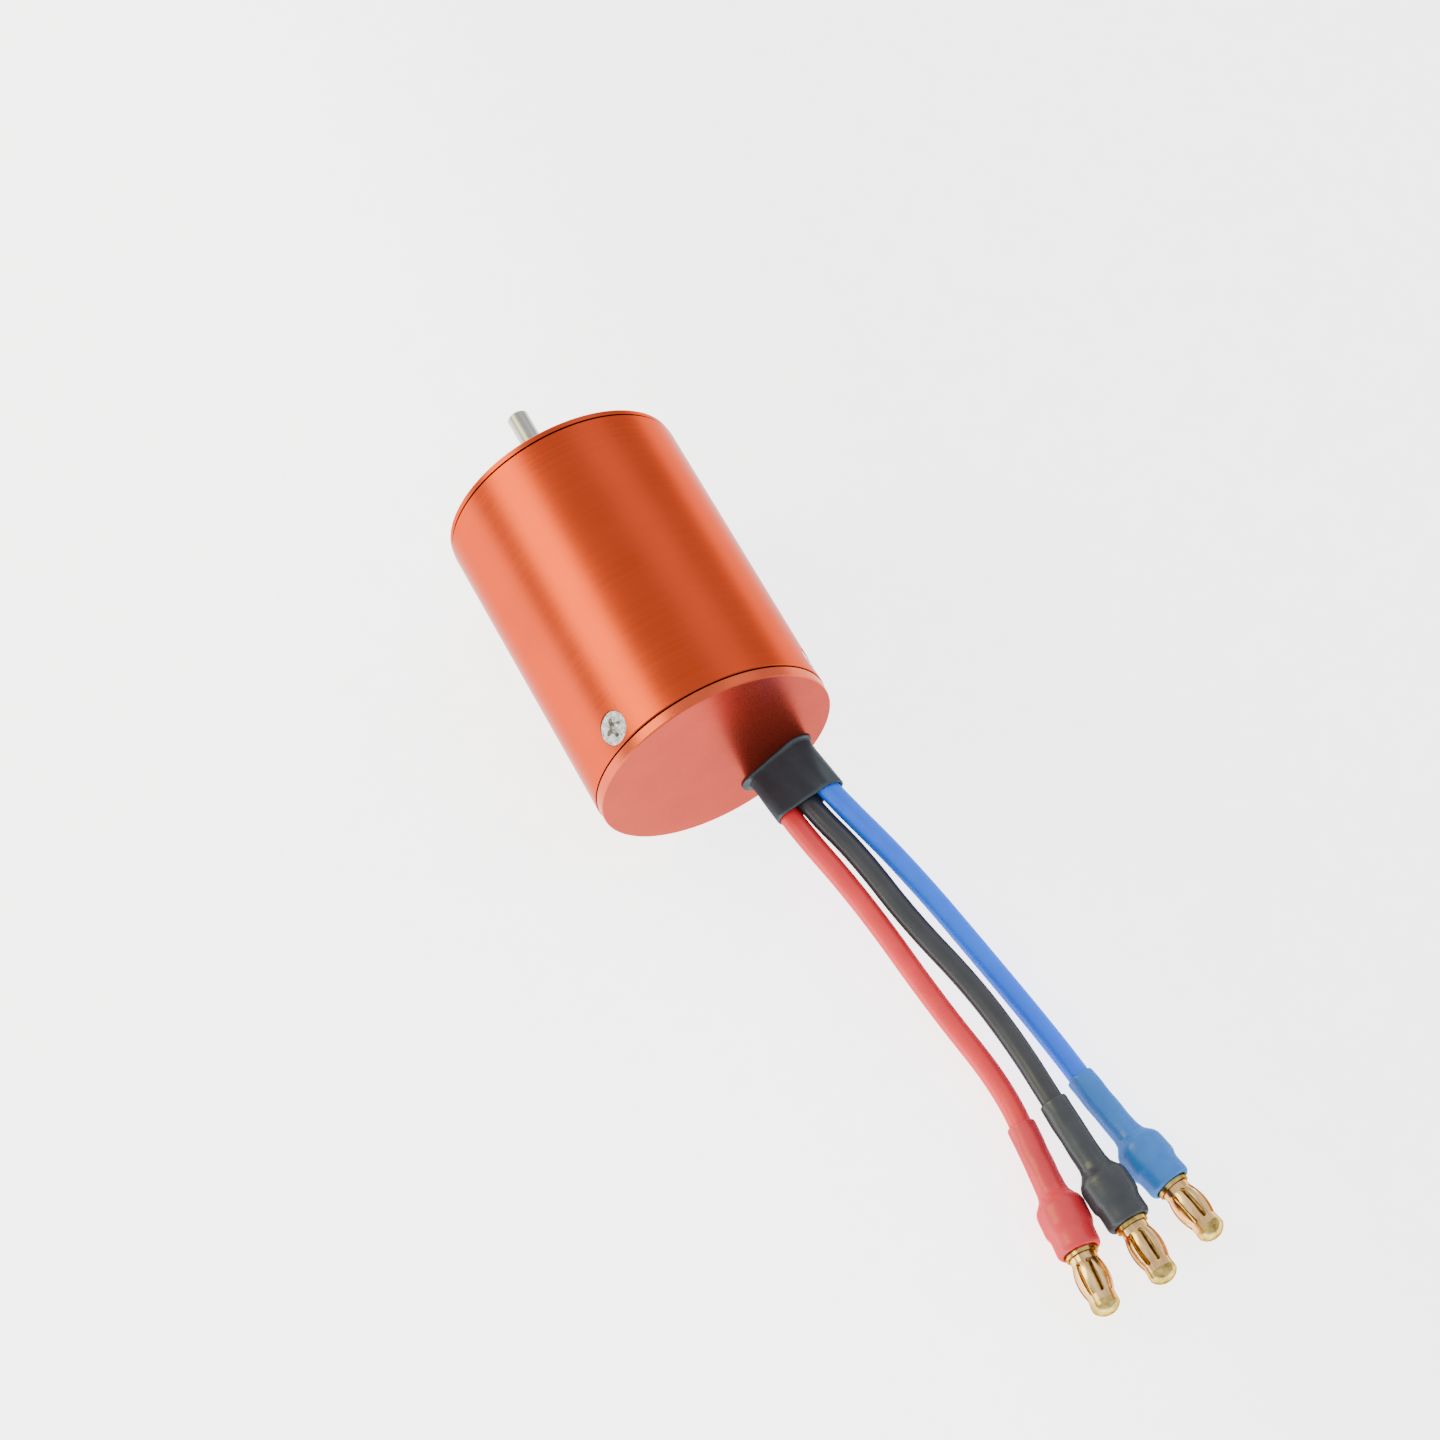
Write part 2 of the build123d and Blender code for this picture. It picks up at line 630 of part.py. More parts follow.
def bullet_spring(plane):
    """Lantern spring: a bulged thin sleeve slit along its middle into eight leaves."""
    middle = (COLLAR_END + SPRING_END) / 2
    first, last = COLLAR_END + 0.02, SPRING_END - 0.02
    with BuildPart() as spring:
        with BuildSketch(plane):
            with BuildLine():
                ends = 1.0
                Polyline((first + ends, SEAT_R), (first, SEAT_R), (first, SPRING_R), (first + ends, SPRING_R))
                ThreePointArc((first + ends, SPRING_R), (middle, BELLY_R), (last - ends, SPRING_R))
                Polyline((last - ends, SPRING_R), (last, SPRING_R), (last, SEAT_R), (last - ends, SEAT_R))
                ThreePointArc(
                    (last - ends, SEAT_R), (middle, BELLY_R - LEAF_THICK), (first + ends, SEAT_R)
                )
            make_face()
        revolve(axis=Axis(plane.origin, plane.x_dir))
        plug_axis = Axis(plane.origin, plane.x_dir)
        for index in range(SPRING_SLOTS // 2):
            outward = plane.z_dir.rotate(plug_axis, index * 360 / SPRING_SLOTS)
            with BuildSketch(Plane(origin=plane.origin, x_dir=plane.x_dir, z_dir=outward)):
                with Locations((middle, 0)):
                    SlotOverall(SLOT_LONG, SLOT_WIDE)
            extrude(amount=3, both=True, mode=Mode.SUBTRACT)
    return spring


def connector_sleeve(plane, points, pin, lead):
    """Heat-shrink sleeve: snug on the lead, swollen over the cup, necked at the pin."""
    start = plane.origin - plane.x_dir * SHRINK_TAIL
    snug, _ = along_lead(points, SHRINK_R)
    swell = spun(
        plane,
        [
            (-0.2, 0),
            (-0.2, SHRINK_R + 0.15),
            (0.5, SHRINK_R + 0.5),
            (1.3, BULGE_R - 0.2),
            (1.8, BULGE_R),
            (CUP_END - 0.3, BULGE_R),
            (CUP_END + 0.5, NECK_R),
            (SHRINK_END - 0.6, NECK_R),
            (SHRINK_END, 2.8),
            (SHRINK_END, 0),
        ],
    )
    with BuildPart() as shrink:
        add(snug.part)
        split(bisect_by=Plane(origin=start, z_dir=plane.x_dir), keep=Keep.TOP)
        split(
            bisect_by=Plane(origin=plane.origin + plane.x_dir * 0.6, z_dir=plane.x_dir),
            keep=Keep.BOTTOM,
        )
        add(swell.part)
        add(pin.part, mode=Mode.SUBTRACT)
        add(lead.part, mode=Mode.SUBTRACT)
    return shrink


for colour, points in ROUTES.items():
    plug = plug_plane(points)
    pin = bullet_pin(plug)
    pin.part.label = f"{colour}_bullet_pin"
    export_step(pin.part, f"parts/{colour}_bullet_pin.step")
    spring = bullet_spring(plug)
    spring.part.label = f"{colour}_bullet_spring"
    export_step(spring.part, f"parts/{colour}_bullet_spring.step")
    shrink = connector_sleeve(plug, points, pin, leads[colour])
    shrink.part.label = f"{colour}_connector_sleeve"
    export_step(shrink.part, f"parts/{colour}_connector_sleeve.step")
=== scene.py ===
import json
import math

import bpy
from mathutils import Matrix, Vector, noise


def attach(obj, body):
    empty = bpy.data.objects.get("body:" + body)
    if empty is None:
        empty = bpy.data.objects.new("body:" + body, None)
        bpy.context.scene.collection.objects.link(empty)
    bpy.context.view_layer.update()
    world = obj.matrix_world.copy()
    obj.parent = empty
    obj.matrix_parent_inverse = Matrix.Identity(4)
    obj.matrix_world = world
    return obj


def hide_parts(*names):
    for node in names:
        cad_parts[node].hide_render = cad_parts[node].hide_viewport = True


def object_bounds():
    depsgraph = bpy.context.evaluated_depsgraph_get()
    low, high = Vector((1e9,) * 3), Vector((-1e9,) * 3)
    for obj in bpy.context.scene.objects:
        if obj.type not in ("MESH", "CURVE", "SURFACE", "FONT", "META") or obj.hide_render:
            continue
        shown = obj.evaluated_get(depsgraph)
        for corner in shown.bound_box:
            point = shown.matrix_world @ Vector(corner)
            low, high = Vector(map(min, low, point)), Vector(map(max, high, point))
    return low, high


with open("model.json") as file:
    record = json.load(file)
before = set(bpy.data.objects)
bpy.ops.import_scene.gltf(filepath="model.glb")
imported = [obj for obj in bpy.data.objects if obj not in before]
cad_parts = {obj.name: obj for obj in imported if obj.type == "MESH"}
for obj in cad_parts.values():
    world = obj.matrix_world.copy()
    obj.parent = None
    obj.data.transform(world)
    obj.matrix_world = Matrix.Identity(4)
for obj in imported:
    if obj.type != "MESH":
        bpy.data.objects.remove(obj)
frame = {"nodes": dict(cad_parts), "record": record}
nodes = frame["nodes"]
cad_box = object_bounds()

MM = 0.001


# ---------------------------------------------------------------- camera

AZIMUTH, ELEVATION = math.radians(-117.16), math.radians(60.29)
AIM = Vector((-44.0, -3.1, 0.0)) * MM
DISTANCE = 543.4 * MM
LENS, SENSOR = 97.28, 36.0
NEAR_CLIP = 0.01


def make_camera():
    """Long lens from above and behind the motor, on the side of the cable outlet."""
    back = Vector(
        (
            math.sin(AZIMUTH) * math.cos(ELEVATION),
            -math.cos(AZIMUTH) * math.cos(ELEVATION),
            math.sin(ELEVATION),
        )
    )
    data = bpy.data.cameras.new("camera")
    data.lens = LENS
    data.sensor_width = SENSOR
    data.clip_start = NEAR_CLIP
    camera = bpy.data.objects.new("camera", data)
    camera.location = AIM + back * DISTANCE
    camera.rotation_mode = "QUATERNION"
    camera.rotation_quaternion = (-back).to_track_quat("-Z", "Y")
    bpy.context.scene.collection.objects.link(camera)
    bpy.context.scene.camera = camera


make_camera()


# ---------------------------------------------------------------- leads

LEAD_R = 1.6
SLEEVE_TIP_X = -58.0
WAY_STEP = 0.4

# The routes of part.py, from the splice inside the rear cap to the cup of the plug
ROUTES = {
    "red": [
        (-45.0, -7.16, -10.6),
        (-51.0, -7.16, -10.6),
        (-59.2, -6.88, -8.38),
        (-74.0, -10.0, -9.6),
        (-92.0, -12.25, -12.3),
        (-105.5, -14.8, -14.2),
        (-116.3, -13.85, -14.5),
        (-127.1, -12.8, -14.5),
    ],
    "black": [
        (-45.0, -9.7, -8.6),
        (-51.0, -9.7, -8.6),
        (-59.2, -9.99, -7.27),
        (-68.0, -12.4, -7.6),
        (-80.0, -14.2, -8.8),
        (-92.0, -17.4, -10.2),
        (-103.0, -18.7, -10.8),
        (-113.0, -18.8, -10.78),
        (-127.3, -19.45, -11.55),
    ],
    "blue": [
        (-45.0, -12.24, -6.6),
        (-51.0, -12.24, -6.6),
        (-58.5, -13.12, -5.97),
        (-73.0, -17.55, -7.9),
        (-91.0, -21.8, -12.0),
        (-103.0, -24.25, -14.1),
        (-113.8, -25.5, -14.5),
        (-124.3, -27.35, -14.5),
    ],
}


def make_lead(colour):
    """One smooth NURBS curve through the lead's route, as thick as the lead."""
    data = bpy.data.curves.new(f"{colour}_silicone_lead", "CURVE")
    data.dimensions = "3D"
    spline = data.splines.new("NURBS")
    route = ROUTES[colour]
    spline.points.add(len(route) - 1)
    for point, (x, y, z) in zip(spline.points, route):
        point.co = (x * MM, y * MM, z * MM, 1.0)
        point.radius = LEAD_R * MM
    spline.order_u = 3
    spline.use_endpoint_u = True
    spline.resolution_u = 24
    # The points carry the lead's radius, as a curve's box reaches out by its points' radius
    data.bevel_depth = 1.0
    data.bevel_resolution = 12
    data.use_fill_caps = True
    lead = bpy.data.objects.new(f"{colour}_silicone_lead", data)
    bpy.context.scene.collection.objects.link(lead)
    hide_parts(f"{colour}_lead")
    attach(lead, "motor")
    return lead


class Line:
    """The centreline of a lead, measured from its start, and carried on straight past its end."""

    def __init__(self, lead):
        bare = lead.data.copy()
        bare.bevel_depth = 0.0
        probe = bpy.data.objects.new("probe", bare)
        bpy.context.scene.collection.objects.link(probe)
        mesh = bpy.data.meshes.new_from_object(
            probe.evaluated_get(bpy.context.evaluated_depsgraph_get())
        )
        self.points = [v.co.copy() / MM for v in mesh.vertices]
        bpy.data.objects.remove(probe)
        bpy.data.curves.remove(bare)
        bpy.data.meshes.remove(mesh)
        self.reach = [0.0]
        for a, b in zip(self.points, self.points[1:]):
            self.reach.append(self.reach[-1] + (b - a).length)
        self.length = self.reach[-1]
        self.end_way = (self.points[-1] - self.points[-2]).normalized()

    def at(self, distance):
        """Point at that distance from the start, in millimetres."""
        if distance >= self.length:
            return self.points[-1] + self.end_way * (distance - self.length)
        index = max(i for i, reach in enumerate(self.reach) if reach <= max(distance, 0.0))
        a, b = self.points[index], self.points[index + 1]
        share = (distance - self.reach[index]) / (self.reach[index + 1] - self.reach[index])
        return a.lerp(b, share)

    def way(self, distance):
        """Direction at that distance."""
        return (self.at(distance + WAY_STEP) - self.at(distance - WAY_STEP)).normalized()

    def distance_at_x(self, x):
        """How far along the line passes that x."""
        for a, b, reach in zip(self.points, self.points[1:], self.reach):
            if b.x <= x <= a.x:
                return reach + (a.x - x) / (a.x - b.x) * (b - a).length
        return self.length


leads = {colour: make_lead(colour) for colour in ROUTES}
lines = {colour: Line(lead) for colour, lead in leads.items()}


# ---------------------------------------------------------------- mesh helpers


def smooth_mesh(name, verts, faces):
    """A smooth-shaded object from points in millimetres."""
    mesh = bpy.data.meshes.new(name)
    mesh.from_pydata([tuple(Vector(v) * MM) for v in verts], [], faces)
    mesh.validate()
    mesh.polygons.foreach_set("use_smooth", [True] * len(mesh.polygons))
    made = bpy.data.objects.new(name, mesh)
    bpy.context.scene.collection.objects.link(made)
    return made


def skin(name, rings):
    """Closed surface over rings of equal point count, with the first and last ring filled."""
    count = len(rings[0])
    verts = [point for ring in rings for point in ring]
    last = len(verts) - count
    faces = []
    for low in range(0, last, count):
        for i in range(count):
            j = (i + 1) % count
            faces.append((low + i, low + j, low + count + j, low + count + i))
    faces.append(tuple(reversed(range(count))))
    faces.append(tuple(range(last, len(verts))))
    return smooth_mesh(name, verts, faces)


def mix(a, b, share):
    """Value that share of the way from a to b."""
    return a + (b - a) * share


def follow(stops, value):
    """Value read off (position, value) stops, straight between them."""
    if value <= stops[0][0]:
        return stops[0][1]
    for (p0, v0), (p1, v1) in zip(stops, stops[1:]):
        if value <= p1:
            return mix(v0, v1, (value - p0) / (p1 - p0))
    return stops[-1][1]


# ---------------------------------------------------------------- plug sleeves

# Distances from where the shrink begins to swell, as in part.py
LEAD_END, SHRINK_END, SHRINK_TAIL = 4.2, 8.55, 11.1
SHRINK_PROFILE = [
    (-11.1, 1.98),
    (-10.8, 2.05),
    (-3.0, 2.05),
    (-1.0, 2.12),
    (-0.1, 2.3),
    (0.6, 2.75),
    (1.2, 3.22),
    (1.8, 3.45),
    (2.6, 3.5),
    (4.4, 3.5),
    (5.0, 3.42),
    (5.5, 3.2),
    (5.9, 3.13),
    (6.6, 3.12),
    (7.9, 3.15),
    (8.3, 3.05),
    (8.55, 2.8),
]
SHRINK_WIDEST = 3.5
# (distance toward the pin from that end of the shrink, radius) of its rounded mouths and bores
PIN_MOUTH = [(0.02, 2.6), (-0.1, 2.45), (-0.5, 2.4)]
LEAD_MOUTH = [(-0.03, 1.8), (0.0, 1.6), (0.5, 1.4)]
RING_POINTS, RING_COUNT = 64, 110
# Lumps in the shrink: their height, how close together they are around and along it, and
# a number that makes each sleeve's differ. They are lower where it is stretched over the cup
LUMP_HEIGHT, LUMP_AROUND, LUMP_ALONG = 0.10, 1.1, 0.33
LUMP_SEEDS = {"red": 3.0, "black": 11.0, "blue": 23.0}
STRETCHED_FROM, STRETCHED_LUMP = 0.5, 0.55


def make_plug_sleeve(colour):
    """Heat-shrink on a plug: snug on the lead, lumpy over the cup, drawn in at the pin."""
    line = lines[colour]
    start = line.length - LEAD_END
    seed = LUMP_SEEDS[colour]

    def ring(distance, radius_at):
        centre, way = line.at(start + distance), line.way(start + distance)
        side = way.cross(Vector((0, 0, 1))).normalized()
        up = side.cross(way)
        points = []
        for i in range(RING_POINTS):
            angle = 2 * math.pi * i / RING_POINTS
            out = side * math.cos(angle) + up * math.sin(angle)
            points.append(centre + out * radius_at(out))
        return points

    def outside(distance):
        plain = follow(SHRINK_PROFILE, distance)
        room = 1.0 if distance < STRETCHED_FROM else STRETCHED_LUMP

        def radius_at(out):
            spot = out * LUMP_AROUND + Vector((distance * LUMP_ALONG, seed, 0))
            lump = noise.noise(spot) * LUMP_HEIGHT * room
            return min(plain + lump, SHRINK_WIDEST)

        return radius_at

    distances = [mix(-SHRINK_TAIL, SHRINK_END, i / RING_COUNT) for i in range(RING_COUNT + 1)]
    rings = [ring(distance, outside(distance)) for distance in distances]
    for past, radius in PIN_MOUTH:
        rings.append(ring(SHRINK_END + past, lambda out: radius))
    for past, radius in LEAD_MOUTH:
        rings.insert(0, ring(-SHRINK_TAIL + past, lambda out: radius))
    piece = skin(f"{colour}_plug_shrink", rings)
    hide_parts(f"{colour}_connector_sleeve")
    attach(piece, "motor")
    return piece


plug_sleeves = {colour: make_plug_sleeve(colour) for colour in ROUTES}

for colour, lead in leads.items():
    line = lines[colour]
    tuple(line.at(line.distance_at_x(SLEEVE_TIP_X)) * MM)


# ---------------------------------------------------------------- cable sleeve

BODY_REAR = -49.2
SLEEVE_LONG, SLEEVE_SHORT = 10.8, 4.4
# (x, centre y, centre z, tilt in degrees, how much longer and thicker than the plain sleeve,
# and how far its middle is shifted toward the red lead)
SLEEVE_STATIONS = [
    (-46.9, -9.7, -8.6, 38.0, 0.0, 0.0, 0.0),
    (BODY_REAR, -9.7, -8.6, 38.0, 0.0, 0.0, 0.0),
    (BODY_REAR - 0.02, -9.7, -8.6, 38.0, 1.8, 0.2, 0.4),
    (-49.42, -9.7, -8.6, 38.0, 1.8, 0.2, 0.4),
    (-49.52, -9.7, -8.6, 38.0, 1.6, 0.1, 0.4),
    (-49.62, -9.7, -8.58, 38.0, 0.8, 0.0, 0.25),
    (-49.9, -9.71, -8.56, 37.5, 0.3, -0.1, 0.1),
    (-50.6, -9.74, -8.5, 36.5, 0.1, -0.05, 0.0),
    (-51.6, -9.8, -8.35, 34.5, 0.0, 0.0, 0.0),
    (-53.5, -9.92, -8.07, 30.5, 0.0, 0.0, 0.0),
    (-56.0, -10.1, -7.67, 26.0, 0.0, 0.0, 0.0),
    (-57.75, -10.23, -7.38, 22.5, 0.0, 0.0, 0.0),
    (-58.0, -10.25, -7.35, 22.0, -0.15, -0.15, 0.0),
]
# The lobes over the leads: their pitch, the dip between them, how far they reach along the
# sleeve in pitches, and how the dip fades from the tip to the rear face
LOBE_PITCH, LOBE_DIP, LOBES_REACH = 3.22, 0.11, 1.6
PINCH_STOPS = [(-58, 1.0), (-52, 0.5), (-49, 0.0)]
SLEEVE_POINTS, RINGS_BETWEEN = 160, 6
# Lumps in the sleeve: their height, and how close together they are across it, through it and
# along it
SLEEVE_LUMP, SLEEVE_LUMP_SCALE = 0.05, (0.7, 0.9, 0.35)
# (distance toward the motor from the tip, how much narrower) of the mouth and the bore behind it
SLEEVE_MOUTH = [(-0.02, 0.45), (0.1, 0.8), (1.5, 0.9)]


def stadium_point(share, long, short):
    """Point on a stadium outline, that share of the way round it."""
    radius = short / 2
    flat = long - short
    around = 2 * flat + 2 * math.pi * radius
    run = share * around
    if run < flat:
        return Vector((run - flat / 2, radius))
    run -= flat
    if run < math.pi * radius:
        angle = math.pi / 2 - run / radius
        return Vector((flat / 2 + radius * math.cos(angle), radius * math.sin(angle)))
    run -= math.pi * radius
    if run < flat:
        return Vector((flat / 2 - run, -radius))
    angle = -math.pi / 2 - (run - flat) / radius
    return Vector((-flat / 2 + radius * math.cos(angle), radius * math.sin(angle)))


def make_cable_sleeve():
    """Flat heat-shrink over the leads, flared at the rear face and drawn in between them."""
    across, through, along_x = SLEEVE_LUMP_SCALE
    rings = []

    def ring(station, narrower=0.0, pinch=1.0):
        x, cy, cz, tilt, longer, thicker, shift = station
        along = Vector((0, math.cos(math.radians(tilt)), -math.sin(math.radians(tilt))))
        over = Vector((1, 0, 0)).cross(along)
        long, short = SLEEVE_LONG + longer - narrower, SLEEVE_SHORT + thicker - narrower
        points = []
        for i in range(SLEEVE_POINTS):
            p = stadium_point(i / SLEEVE_POINTS, long, short)
            dip = math.cos(2 * math.pi * p.x / LOBE_PITCH)
            in_lobes = abs(p.x) < LOBES_REACH * LOBE_PITCH
            drawn = LOBE_DIP * pinch * (1 - dip) / 2 if in_lobes else 0.0
            lump = SLEEVE_LUMP * noise.noise(Vector((p.x * across, p.y * through, x * along_x)))
            height = p.y - math.copysign(drawn, p.y) + lump * (1 if p.y > 0 else -1)
            points.append(Vector((x, cy, cz)) + along * (p.x + shift) + over * height)
        return points

    for a, b in zip(SLEEVE_STATIONS, SLEEVE_STATIONS[1:]):
        for step in range(RINGS_BETWEEN):
            station = tuple(mix(u, v, step / RINGS_BETWEEN) for u, v in zip(a, b))
            rings.append(ring(station, pinch=follow(PINCH_STOPS, station[0])))
    tip_x, *tip = SLEEVE_STATIONS[-1]
    rings.append(ring((tip_x, *tip)))
    for back, narrower in SLEEVE_MOUTH:
        rings.append(ring((tip_x + back, *tip), narrower=narrower))
    piece = skin("cable_sleeve_shrink", rings)
    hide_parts("cable_sleeve")
    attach(piece, "motor")
    return piece


cable_sleeve = make_cable_sleeve()


# ---------------------------------------------------------------- materials

RANGE_SOCKETS = ("From Min", "From Max", "To Min", "To Max")
# Sockets of a mix node that go by number: A and B as numbers, A and B as colours, colour result
MIX_A, MIX_B, MIX_COLOUR_A, MIX_COLOUR_B, MIX_COLOUR = 2, 3, 6, 7, 2


class Shader:
    """A principled material and short calls for the nodes that feed it."""

    def __init__(self, name, **sockets):
        self.material = bpy.data.materials.new(name)
        self.material.use_nodes = True
        self.tree = self.material.node_tree
        self.bsdf = self.tree.nodes["Principled BSDF"]
        for socket, value in sockets.items():
            self.bsdf.inputs[socket.replace("_", " ")].default_value = value

    def node(self, kind, **settings):
        """New node with its properties set."""
        made = self.tree.nodes.new(kind)
        for key, value in settings.items():
            setattr(made, key, value)
        return made

    def link(self, source, target):
        """Joins two sockets."""
        self.tree.links.new(source, target)

    def object_noise(self, scale, stretch=(1, 1, 1), detail=3.0, roughness=0.55):
        """Noise in the object's own space, stretched along its axes; scale is per metre."""
        where = self.node("ShaderNodeTexCoord")
        mapping = self.node("ShaderNodeMapping")
        mapping.inputs["Scale"].default_value = stretch
        texture = self.node("ShaderNodeTexNoise")
        texture.inputs["Scale"].default_value = scale
        texture.inputs["Detail"].default_value = detail
        texture.inputs["Roughness"].default_value = roughness
        self.link(where.outputs["Object"], mapping.inputs["Vector"])
        self.link(mapping.outputs["Vector"], texture.inputs["Vector"])
        return texture.outputs["Fac"]

    def ramp(self, source, *stops):
        """Colour ramp with (position, colour) stops."""
        made = self.node("ShaderNodeValToRGB")
        elements = made.color_ramp.elements
        while len(elements) < len(stops):
            elements.new(0.5)
        for element, (position, colour) in zip(elements, stops):
            element.position = position
            element.color = (*colour, 1.0)
        self.link(source, made.inputs["Fac"])
        return made.outputs["Color"]

    def feed(self, source, target):
        """Joins a socket to the principled shader's input of that name."""
        self.link(source, self.bsdf.inputs[target])

    def carry(self, source, limits, curve="LINEAR"):
        """Source carried from one range to another; limits are from, from, to, to."""
        made = self.node("ShaderNodeMapRange", interpolation_type=curve)
        for socket, value in zip(RANGE_SOCKETS, limits):
            made.inputs[socket].default_value = value
        self.link(source, made.inputs["Value"])
        return made.outputs["Result"]

    def bump(self, source, strength, distance, below=None):
        """Bump from source; below is an earlier bump to add to."""
        made = self.node("ShaderNodeBump")
        made.inputs["Strength"].default_value = strength
        made.inputs["Distance"].default_value = distance * MM
        self.link(source, made.inputs["Height"])
        if below is not None:
            self.link(below, made.inputs["Normal"])
        self.feed(made.outputs["Normal"], "Normal")
        return made.outputs["Normal"]

    def radial_tangent(self):
        """Anisotropy that runs round the shaft's axis."""
        made = self.node("ShaderNodeTangent", direction_type="RADIAL", axis="X")
        self.feed(made.outputs["Tangent"], "Tangent")


EDGE_TINT_AND_SHADE = (0.77, 0.52, 0.49, 1.0)  # the dye keeps some orange at a slant, and the tint is darkened further as painted shade for the shadowed floor the edges mirror
GOLD_EDGE_SHADE = (0.36, 0.25, 0.16)  # painted shade: the gold's reflection is browned and darkened at a slant, for the shadowed floor round the plugs
CLOUD_SHARE = 0.45  # how much of the can's colour drift is clouds, not turning lines
FACE_FROM, FACE_TO = 0.90, 0.98  # how squarely a cap's surface looks along x to be its face
GLOSS_BY_SLANT = (0.15, 0.6, 0.75, 0.0)


def turned_anodised(name, light, deep, roughness, anisotropy):
    """Anodised aluminium with fine turning lines round the can and faint cloudiness."""
    s = Shader(name, Metallic=1.0, Anisotropic=anisotropy, Specular_Tint=EDGE_TINT_AND_SHADE)
    lines_round = s.object_noise(2600, stretch=(1, 0.004, 0.004), detail=4.0, roughness=0.7)
    clouds = s.object_noise(90, detail=2.0)
    blend = s.node("ShaderNodeMix", data_type="FLOAT")
    blend.inputs["Factor"].default_value = CLOUD_SHARE
    s.link(lines_round, blend.inputs[MIX_A])
    s.link(clouds, blend.inputs[MIX_B])
    s.feed(s.ramp(blend.outputs[0], (0.3, deep), (0.7, light)), "Base Color")
    s.feed(s.carry(lines_round, (0, 1, roughness - 0.04, roughness + 0.06)), "Roughness")
    s.bump(lines_round, strength=0.08, distance=0.008)
    s.radial_tangent()
    return s.material


def cap_anodised(name, rim_light, rim_deep, face_shaded_light, face_shaded_deep):
    """Anodised cap: a smooth orange rim, and a flat face with a fine satin grain and a darker,
    redder colour that is partly painted shade.
    """
    s = Shader(name, Metallic=0.82, Specular_Tint=EDGE_TINT_AND_SHADE)
    grain = s.object_noise(9000, detail=2.0)
    clouds = s.object_noise(110, detail=3.0)
    where = s.node("ShaderNodeTexCoord")
    split = s.node("ShaderNodeSeparateXYZ")
    s.link(where.outputs["Normal"], split.inputs["Vector"])
    facing = s.node("ShaderNodeMath", operation="ABSOLUTE")
    s.link(split.outputs["X"], facing.inputs[0])
    # The face's darker, redder colour is partly its finish and partly painted shade for the
    # shadowed floor it mirrors
    colour = s.node("ShaderNodeMix", data_type="RGBA")
    s.link(s.carry(facing.outputs[0], (FACE_FROM, FACE_TO, 0, 1)), colour.inputs[0])
    s.link(s.ramp(clouds, (0.3, rim_deep), (0.7, rim_light)), colour.inputs[MIX_COLOUR_A])
    s.link(s.ramp(clouds, (0.3, face_shaded_deep), (0.7, face_shaded_light)), colour.inputs[MIX_COLOUR_B])
    s.feed(colour.outputs[MIX_COLOUR], "Base Color")
    s.feed(s.carry(grain, (0, 1, 0.22, 0.34)), "Roughness")
    s.bump(grain, strength=0.12, distance=0.005)
    return s.material


def metal(
    name,
    light,
    deep,
    roughness,
    grain_scale=5000,
    stretch=(1, 1, 1),
    strength=0.15,
    depth=0.006,
    smudge_and_reflection_scale=400,
    smudge_and_reflection_stretch=(1, 1, 1),
    edge=(1.0, 1.0, 1.0),
):
    """Plain metal with a fine grain, smudges or streaks, and a colour of its own at a slant; on
    gold, partly painted reflections and shade.
    """
    s = Shader(name, Metallic=1.0, Specular_Tint=(*edge, 1.0))
    grain = s.object_noise(grain_scale, stretch=stretch, detail=3.0)
    smudge_and_reflection = s.object_noise(smudge_and_reflection_scale, stretch=smudge_and_reflection_stretch, detail=4.0)
    s.feed(s.ramp(smudge_and_reflection, (0.3, deep), (0.7, light)), "Base Color")
    s.feed(s.carry(smudge_and_reflection, (0, 1, roughness - 0.05, roughness + 0.12)), "Roughness")
    s.bump(grain, strength, depth)
    return s.material


def rubbery(name, light, deep, roughness, grain_scale, strength, depth):
    """Silicone or heat-shrink: soft colour drift, fine grain, slow dents and a faint gloss."""
    s = Shader(name, IOR=1.12, Coat_Roughness=0.3)
    drift = s.object_noise(260, detail=4.0)
    grain = s.object_noise(grain_scale, detail=3.0)
    s.feed(s.ramp(drift, (0.32, deep), (0.68, light)), "Base Color")
    s.feed(s.carry(drift, (0, 1, roughness - 0.06, roughness + 0.10)), "Roughness")
    dents = s.bump(drift, strength * 0.8, depth * 2)
    rough_skin = s.bump(grain, strength, depth, below=dents)
    s.feed(rough_skin, "Coat Normal")
    # The faint gloss fades toward a slant, so the rims stay dark: painted shade along the edges
    slant = s.node("ShaderNodeLayerWeight")
    s.feed(s.carry(slant.outputs["Facing"], GLOSS_BY_SLANT, "SMOOTHSTEP"), "Coat Weight")
    return s.material


def plastic(name, light, deep, roughness):
    """Moulded or wrapped insulation."""
    return rubbery(name, light, deep, roughness, grain_scale=3000, strength=0.2, depth=0.01)


def silicone(name, light, deep, roughness):
    """Insulation of a lead."""
    return rubbery(name, light, deep, roughness, grain_scale=5200, strength=0.18, depth=0.015)


def shrink(name, light, deep, roughness, strength=0.25):
    """Heat-shrink."""
    return rubbery(name, light, deep, roughness, grain_scale=4200, strength=strength, depth=0.02)


def look(make, light, deep, roughness, **more):
    """How a slot's material is made, and what with."""
    return make, dict(light=light, deep=deep, roughness=roughness, **more)


